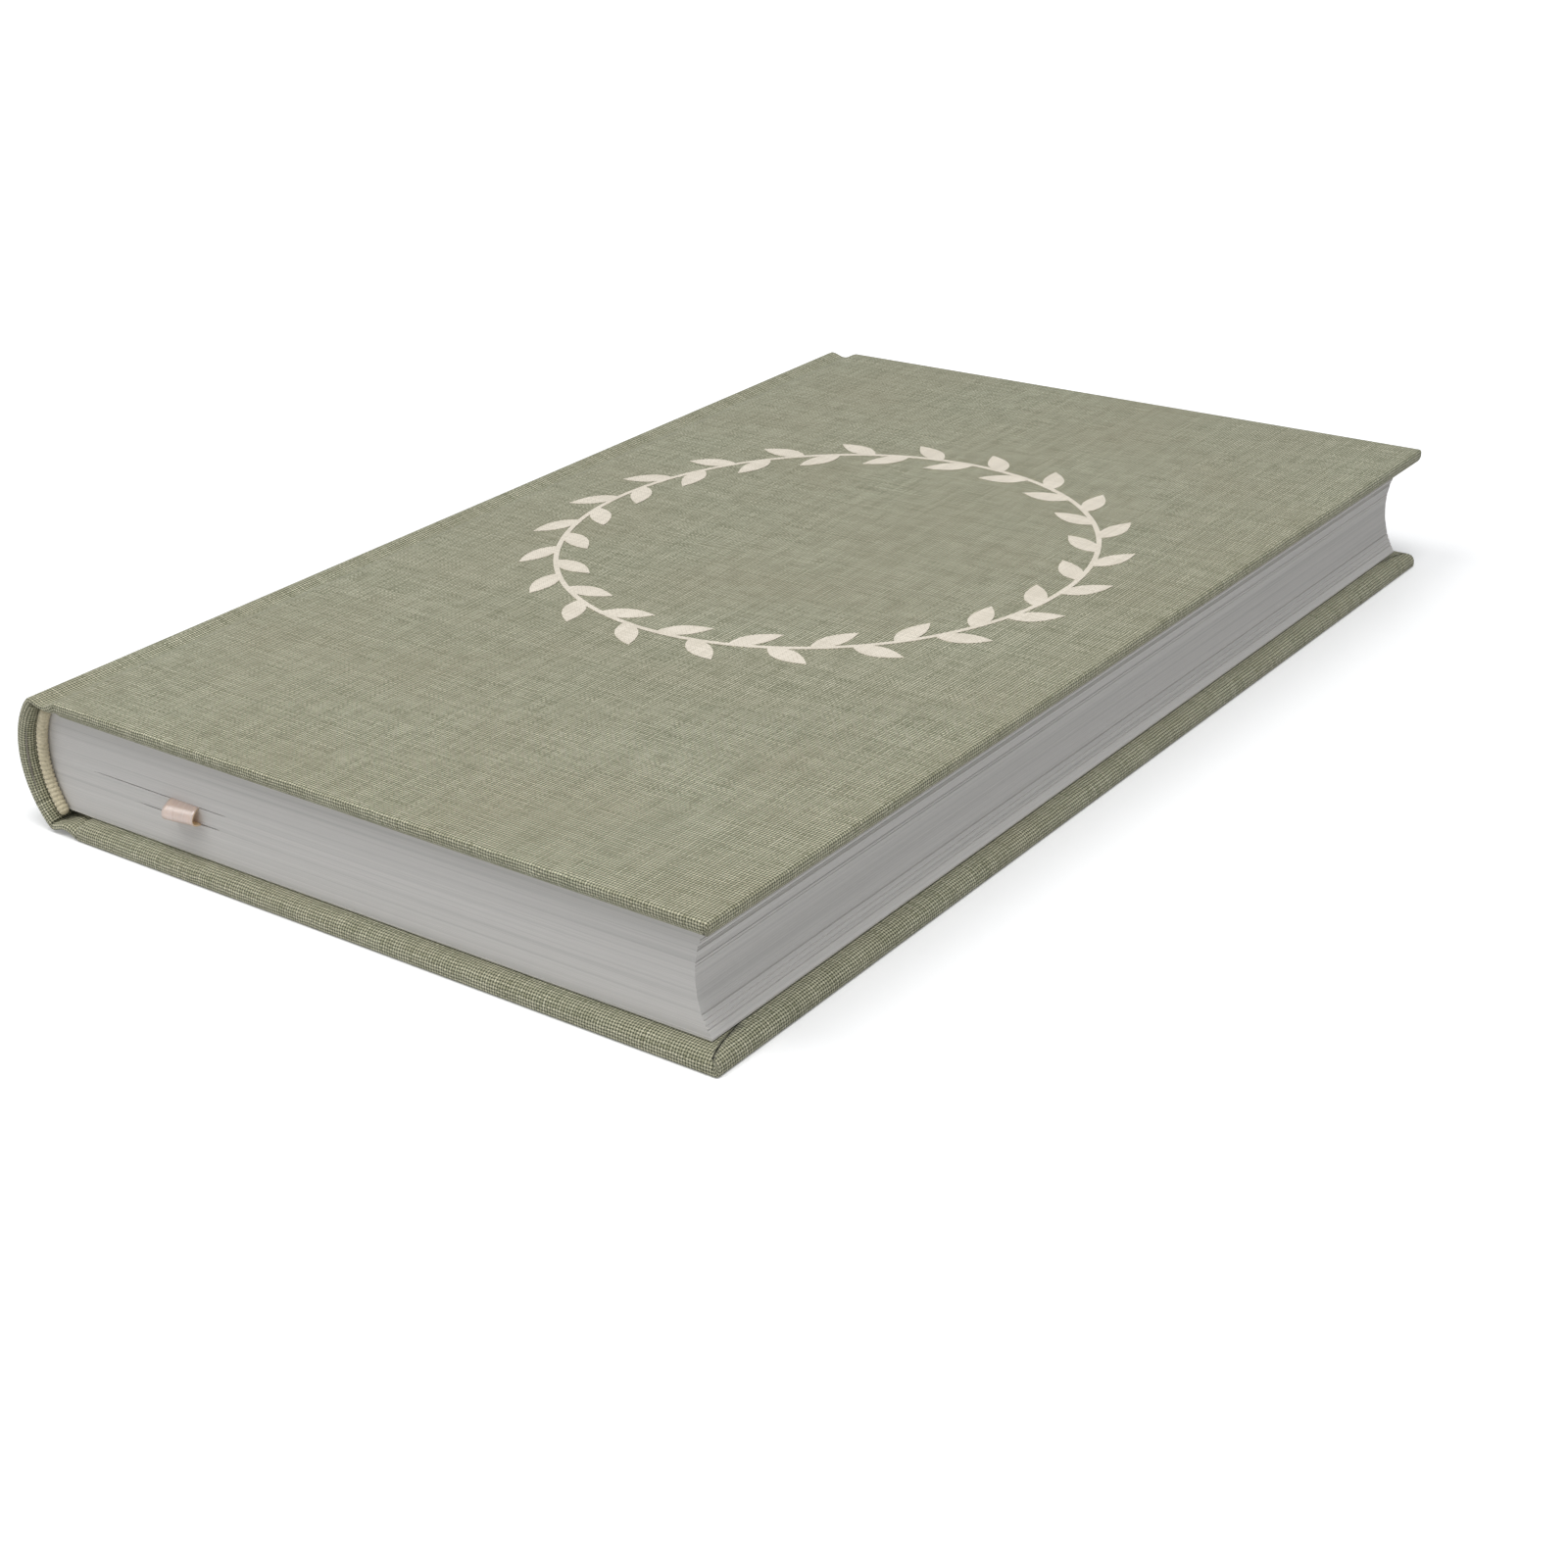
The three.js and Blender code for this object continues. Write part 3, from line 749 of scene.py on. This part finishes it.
def cover_cloth(which, side, climb, u0):
    """The cloth on a board: over its face, round its three free edges and in, lapped at the corners."""
    corner_x, corner_y = FORE_X - EDGE_OUT, Y_END - EDGE_OUT
    near = corner_x - np.array([4, 3.5, 3, 2.6, 2.2, 1.9, 1.6, 1.3, 1.0, 0.75, 0.5, 0.3, 0.15, 0])
    flat = np.concatenate([np.linspace(climb[-1][0], near[0], 44)[1:-1], near])
    line = np.concatenate([climb, np.column_stack([flat, np.full(len(flat), CASE_HALF)])])
    length, _ = profile_frame(line)
    stacks = BOARD_STACK + (COVER - BOARD_STACK) * np.clip((line[:, 0] - line[0, 0]) / 0.9, 0, 1)
    stacks = np.minimum(stacks, line[:, 1] - INSIDE_FACE)
    from_end = np.concatenate([np.linspace(15, 3, 13), [2.6, 2.2, 1.8, 1.4, 1.0, 0.7, 0.4, 0.2, 0]])
    ends = 1 - from_end / corner_y
    along = np.concatenate([-ends[::-1], np.linspace(-ends[0], ends[0], 41)[1:-1], ends])
    n, m = len(line), len(along)
    points, places = [], []
    for i in range(n):
        y = along * (Y_END - out_of(stacks[i]))
        points += [(line[i, 0], v, line[i, 1]) for v in y]
        places += [(u0 + length[i], v) for v in y]
    faces = grid_faces(n, m)
    # Painted shade along the seams, from 0 to 1 for each point.
    painted_seam_shade = [0.0] * len(points)
    # The outline: the point it starts from, the way out, the thickness and what the column is.
    # A corner is a fan of ways out from one point, after a column close beside the seam.
    last = (n - 1) * m
    fan = [math.pi / 2 * k / FAN for k in range(1, FAN)]
    outline = [(i * m, (0, -1), stacks[i], "end") for i in range(n)]
    outline += [(last, (0, -1), COVER, "ear")]
    outline += [(last, (math.sin(a), -math.cos(a)), COVER, "fan") for a in fan]
    outline += [(last + j, (1, 0), COVER, "fore") for j in range(m)]
    outline += [(last + m - 1, (math.cos(a), math.sin(a)), COVER, "fan") for a in fan]
    outline += [(last + m - 1, (0, 1), COVER, "ear")]
    outline += [(i * m + m - 1, (0, 1), stacks[i], "end") for i in range(n - 1, -1, -1)]
    first = len(points)
    seam_start = seam_inside(0)
    for at, way, stack, kind in outline:
        out, down, unrolled = fold(stack, TURN_IN)
        base, place = points[at], places[at]
        rings = len(out) - 1
        from_corner = corner_x - base[0]
        seam = kind == "end" and from_corner < 1e-6
        for r in range(1, rings + 1):
            o, d, dark, shift = out[r], down[r], 0.0, 0.0
            if kind in ("end", "ear"):
                shift = seam_start * min(1, max(0, (d - SEAM_FROM) / SEAM_OVER))
            if kind == "end":
                shift *= max(0.0, 1 - from_corner / 2)
            elif kind == "ear":
                shift = max(0.0, shift - SEAM_HALF)
            limit, other = 99, COVER
            if kind in ("fan", "ear") or seam:
                limit = 0.0
            elif kind == "end" and from_corner + shift < seam_inside(TURN_IN):
                limit = seam_along(from_corner + shift)
                other = depth_at(from_corner + shift + EDGE_OUT)
            elif kind == "fore":
                to_end = corner_y - abs(base[1])
                limit = seam_inside(to_end) if to_end < TURN_IN else 99
                other = depth_at(to_end + EDGE_OUT)
            if limit < 99 and r > OUTER_STEPS and o < out[OUTER_STEPS]:
                wanted = o
                o = max(o, -limit if r == rings else -max(0.0, limit - SEAM_HALF))
                d = min(d, depth_at(EDGE_OUT - o), other) if wanted < 0.3 else d
            # The turn-in's edge along the seam is sunk and gets full painted shade.
            if r == rings and limit < -out[rings] and kind in ("end", "fore"):
                d, dark = d - SEAM_DEPTH, 1.0
            # At the corner the seam's rings get painted shade, growing inward, and are drawn in to a slit.
            if seam and r > OUTER_STEPS:
                dark = min(1.0, (r - OUTER_STEPS) / 3)
                o -= SEAM_DEPTH * dark * (0.7 if r < rings else 0)
            x = base[0] + way[0] * o - shift
            points.append((x, base[1] + way[1] * o, base[2] - d))
            places.append((place[0] + way[0] * unrolled[r] - shift, place[1] + way[1] * unrolled[r]))
            painted_seam_shade.append(dark)
    for k in range(len(outline) - 1):
        a, b = first + k * rings, first + (k + 1) * rings
        start, after = outline[k][0], outline[k + 1][0]
        faces.append((start, a, b) if start == after else (start, a, b, after))
        faces += [(a + r, a + r + 1, b + r + 1, b + r) for r in range(rings - 1)]
    return make(f"{which}_cover_linen", points, faces, side, places, on_cover=True, painted_seam_shade=painted_seam_shade)


def board_core(which, side, material):
    """The board inside the cloth, with the same unequal roundings."""
    inset = CLOTH + GLUE
    turn = np.linspace(0, math.pi / 2, 5)
    top_in = EDGE_OUT - (EDGE_OUT - inset) * np.sin(turn)
    top_down = EDGE_DOWN - (EDGE_DOWN - inset) * np.cos(turn)
    low_in = INNER_IN - (INNER_IN - inset) * np.cos(turn)
    low_down = COVER - INNER_DOWN + (INNER_DOWN - inset) * np.sin(turn)
    start, points = BOARD_X + 0.9, []
    for e, d in zip(np.concatenate([top_in, low_in]), np.concatenate([top_down, low_down])):
        for x, y in ((start, -1), (FORE_X - e, -1), (FORE_X - e, 1), (start, 1)):
            points.append((x, y * (Y_END - e), CASE_HALF - d))
    rings = len(points) // 4
    faces = [(0, 1, 2, 3), tuple(range(4 * rings - 1, 4 * rings - 5, -1))]
    for a in range(0, 4 * (rings - 1), 4):
        faces += [(a + (k + 1) % 4, a + k, a + 4 + k, a + 4 + (k + 1) % 4) for k in range(4)]
    obj = make(f"{which}_board_core", points, faces, side, smooth=False, on_cover=True)
    paint(obj, material)
    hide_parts(f"{which}_board")
    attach(obj, f"{which}_cover")


def ornament(stamp, u_at_x):
    """The stamped garland keeps its CAD solid. Its places in the cloth are those of the cloth under it."""
    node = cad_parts["cover_ornament"]
    co = np.array([v.co for v in node.data.vertices], float)
    set_cloth(node.data, np.column_stack([co[:, 0] / MM - SHIFT_X + u_at_x, co[:, 1] / MM]))
    paint(node, stamp)


# The pages


def block(material):
    """The pages, with each row of paper edges a little in or out, and parted round the ribbon."""
    columns, across = 72, 60
    part = np.linspace(-1, 1, LEAF_ROWS + 1)
    y = np.linspace(-PAGE_END, PAGE_END, columns + 1)
    x_part = np.linspace(0, 1, across + 1)
    rows = len(part)
    leaf_out = rng.normal(0, LEAF_OUT, rows)
    group = np.convolve(rng.normal(0, LEAF_GROUP, rows + 10), np.ones(11) / 11, "valid")
    drift = rng.normal(0, RIPPLE, rows)
    phase = rng.uniform(0, 2 * math.pi, rows)
    notch = np.zeros(rows)
    low_lines = rng.choice(np.arange(4, 50), 4, replace=False)
    high_lines = rng.choice(np.arange(110, rows - 4), 10, replace=False)
    lines = np.concatenate([low_lines, high_lines])
    notch[lines] = rng.uniform(NOTCH_SHALLOW, NOTCH_DEEP, len(lines))
    notch[lines + 1] = notch[lines] * 0.6
    back_w, fore_w = part * BLOCK_HALF, part * FORE_HALF
    back = -np.sqrt(BACK_RADIUS**2 - back_w**2)
    hollow = math.sqrt(BACK_RADIUS**2 - FORE_HALF**2)
    fore = SHOULDER_X + PAGE_WIDTH + hollow - np.sqrt(BACK_RADIUS**2 - fore_w**2)
    tail_in = np.abs(rng.normal(0, LEAF_IN, rows))

    def point(i, j, k):
        ripple = drift[k] * math.sin(2 * math.pi * y[j] / RIPPLE_LENGTH + phase[k])
        edge = fore[k] + leaf_out[k] + group[k] - notch[k] + ripple
        x = back[k] + (edge - back[k]) * x_part[i]
        w = back_w[k] + (fore_w[k] - back_w[k]) * x_part[i]
        at_y = y[j]
        if j in (0, columns):
            at_y -= math.copysign(tail_in[k], at_y)
        if j == 0:
            for slit, low, high in RIBBON_SLITS:
                t = (x - SHOULDER_X - low) / (high - low)
                if 0 < t < 1 and abs(w - slit) < SLIT_HALF:
                    at_y += SLIT_DEPTH * math.sin(math.pi * t) ** 0.7
        return (x, at_y, w)

    points, faces = [], []

    def sheet(ni, nj, at, flip=False):
        first = len(points)
        points.extend(at(i, j) for i in range(ni) for j in range(nj))
        made = grid_faces(ni, nj, first)
        faces.extend([f[::-1] for f in made] if flip else made)

    nx, ny, nw = across + 1, columns + 1, rows
    sheet(nx, ny, lambda i, j: point(i, j, nw - 1))
    sheet(nx, ny, lambda i, j: point(i, j, 0), True)
    sheet(ny, nw, lambda j, k: point(across, j, k))
    sheet(ny, nw, lambda j, k: point(0, j, k), True)
    sheet(nx, nw, lambda i, k: point(i, 0, k))
    sheet(nx, nw, lambda i, k: point(i, columns, k), True)
    obj = make("leaves", points, faces, smooth=False)
    weld(obj, WELD_CLOSE)
    face_outward(obj)
    paint(obj, material)
    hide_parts("page_block")
    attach(obj, "block")


def bands(material):
    """The beads of the head and tail bands: thread wound over a core."""
    middle = BACK_RADIUS - BAND_INSET
    reach = math.asin((BLOCK_HALF + 0.6 * BEAD_OVERHANG) / middle)
    bead_y = PAGE_END + BAND_RADIUS
    steps, ring = BAND_TURNS * 8, BAND_RING
    for end, name, node in ((-1, "tailband_thread", "tailband"), (1, "headband_thread", "headband")):
        points = []
        for i in range(steps + 1):
            t = i / steps
            angle = math.pi - reach + 2 * reach * t
            rib = abs(math.sin(math.pi * BAND_TURNS * t))
            close = min(1, math.sqrt(max(0, math.sin(math.pi * t) * 9)))
            r = (BAND_RADIUS - BAND_RIB + BAND_RIB * rib) * (0.25 + 0.75 * close)
            for k in range(ring):
                a = 2 * math.pi * k / ring
                from_axis = middle + r * math.cos(a)
                at_y = end * (bead_y + r * math.sin(a))
                points.append((from_axis * math.cos(angle), at_y, from_axis * math.sin(angle)))
        faces = []
        for i in range(steps):
            for k in range(ring):
                k2 = (k + 1) % ring
                faces.append((i * ring + k, (i + 1) * ring + k, (i + 1) * ring + k2, i * ring + k2))
        faces.append(tuple(range(ring)))
        faces.append(tuple(range(steps * ring + ring - 1, steps * ring - 1, -1)))
        if end < 0:
            faces = [f[::-1] for f in faces]
        bead = make(name, points, faces)
        face_outward(bead)
        paint(bead, material)
        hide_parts(node)
        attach(bead, "block")


def ribbon(satin, inside):
    """The satin ribbon, slantwise through the pages, with its loop at the tail."""
    exit_y = -PAGE_END
    run = 2 * PAGE_END - RIBBON_HEAD_GAP
    line = [(y, RIBBON_OUT) for y in (run, run * 0.5, 12, 3, 0.6)]
    middle, drop = (RIBBON_OUT + RIBBON_IN) / 2, (RIBBON_OUT - RIBBON_IN) / 2
    for i in range(LOOP_STEPS + 1):
        a = math.pi / 2 + math.pi * i / LOOP_STEPS
        line.append((RIBBON_LOOP * math.cos(a), middle + drop * math.sin(a) + RIBBON_SAG * math.cos(a)))
    line += [(y, RIBBON_IN) for y in (0.6, 3, 12, RIBBON_TUCK)]
    back_x = RIBBON_BACK_GAP + RIBBON_WIDTH / 2 - (BACK_RADIUS + SHOULDER_X)
    slant = math.atan2(RIBBON_X - back_x, run)
    length, _ = profile_frame(line)
    points, places = [], []
    for (y, w), along in zip(line, length):
        for k in range(RIBBON_COLUMNS):
            s = (k / (RIBBON_COLUMNS - 1) - 0.5) * RIBBON_WIDTH
            x = s * math.cos(slant) - y * math.sin(slant)
            at_y = s * math.sin(slant) + y * math.cos(slant)
            points.append((SHOULDER_X + RIBBON_X + x, exit_y + at_y, w))
            places.append((s, along))
    obj = make("satin_ribbon", points, grid_faces(len(line), RIBBON_COLUMNS), 1, places)
    thicken(obj, RIBBON_THICKNESS, 0)
    paint(obj, satin)
    obj.data.materials.append(inside)
    # The inside of the loop gets a warmer, lighter copy of the satin: painted light, for the light that
    # comes through the satin.
    core = Vector(row([(SHOULDER_X + RIBBON_X, -PAGE_END, middle)])[0])
    for face in obj.data.polygons:
        at = face.center - core
        at.x = 0
        if face.center.y < -PAGE_END * MM and face.normal.dot(at) < 0:
            face.material_index = 1
    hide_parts("ribbon_marker")
    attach(obj, "block")


def endpaper_joints(material):
    """The endpapers where they cross the joints, from the flyleaf onto the pastedown."""
    for side, which in ((1, "front"), (-1, "back")):
        x = np.linspace(SHOULDER_X, BOARD_X + JOINT_LAP, 9)
        t = np.linspace(0, 1, 9)
        step = Y_END - TURN_IN - TURN_IN_STEP
        outer = np.linspace(step + TURN_IN_STEP, PAGE_END - JOINT_LAP, 3)
        half = np.concatenate([np.linspace(0, step, 11), outer])
        y = np.concatenate([-half[:0:-1], half])
        # It meets the pastedown, which is sunk to the bare board between the turned-in ends.
        end = np.where(np.abs(y) <= step, INSIDE_FACE + CLOTH - PAPER / 2, INSIDE_FACE - GLUE - PAPER / 2)
        points = [(a, v, HINGE_W + (e - HINGE_W) * b) for a, b in zip(x, t) for v, e in zip(y, end)]
        obj = make(f"{which}_endpaper_joint", points, grid_faces(len(x), len(y)), side, on_cover=True)
        thicken(obj, JOINT_PAPER, 0)
        paint(obj, material)
        start, end = row([(SHOULDER_X, 0, side * HINGE_W), (SHOULDER_X + 1.5, 0, side * HINGE_W)])
        bend(obj, which)


stage()
linen, stamp, edges, paper = cloth_material(), stamp_material(), page_material(), paper_material()
threads = thread_material()
satin = satin_material("satin", srgb(212, 184, 170), srgb(240, 221, 211))
# The inside of the ribbon's loop: a lighter, warmer copy of the satin, painted light.
satin_painted_light = satin_material("satin_painted_light", srgb(244, 210, 168), srgb(254, 226, 188))
u_rise = case_pieces(linen)
ornament(stamp, u_rise - (BOARD_X + JOINT_RISE))
block(edges)
bands(threads)
ribbon(satin, satin_painted_light)
endpaper_joints(paper)
grey_board = fibre_material("grey_board", srgb(120, 115, 106), srgb(158, 151, 140), 1.6)
board_core("front", 1, grey_board)
board_core("back", -1, grey_board)
kraft = fibre_material("kraft", srgb(160, 132, 96), srgb(190, 162, 124), 1.2)
gauze = fibre_material("gauze", srgb(214, 207, 190), srgb(238, 233, 220), 2.5)
for node, material in (
    ("front_flyleaf", paper),
    ("back_flyleaf", paper),
    ("front_pastedown", paper),
    ("back_pastedown", paper),
    ("spine_mull", gauze),
    ("spine_lining", kraft),
    ("spine_inlay", grey_board),
):
    paint(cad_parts[node], material)
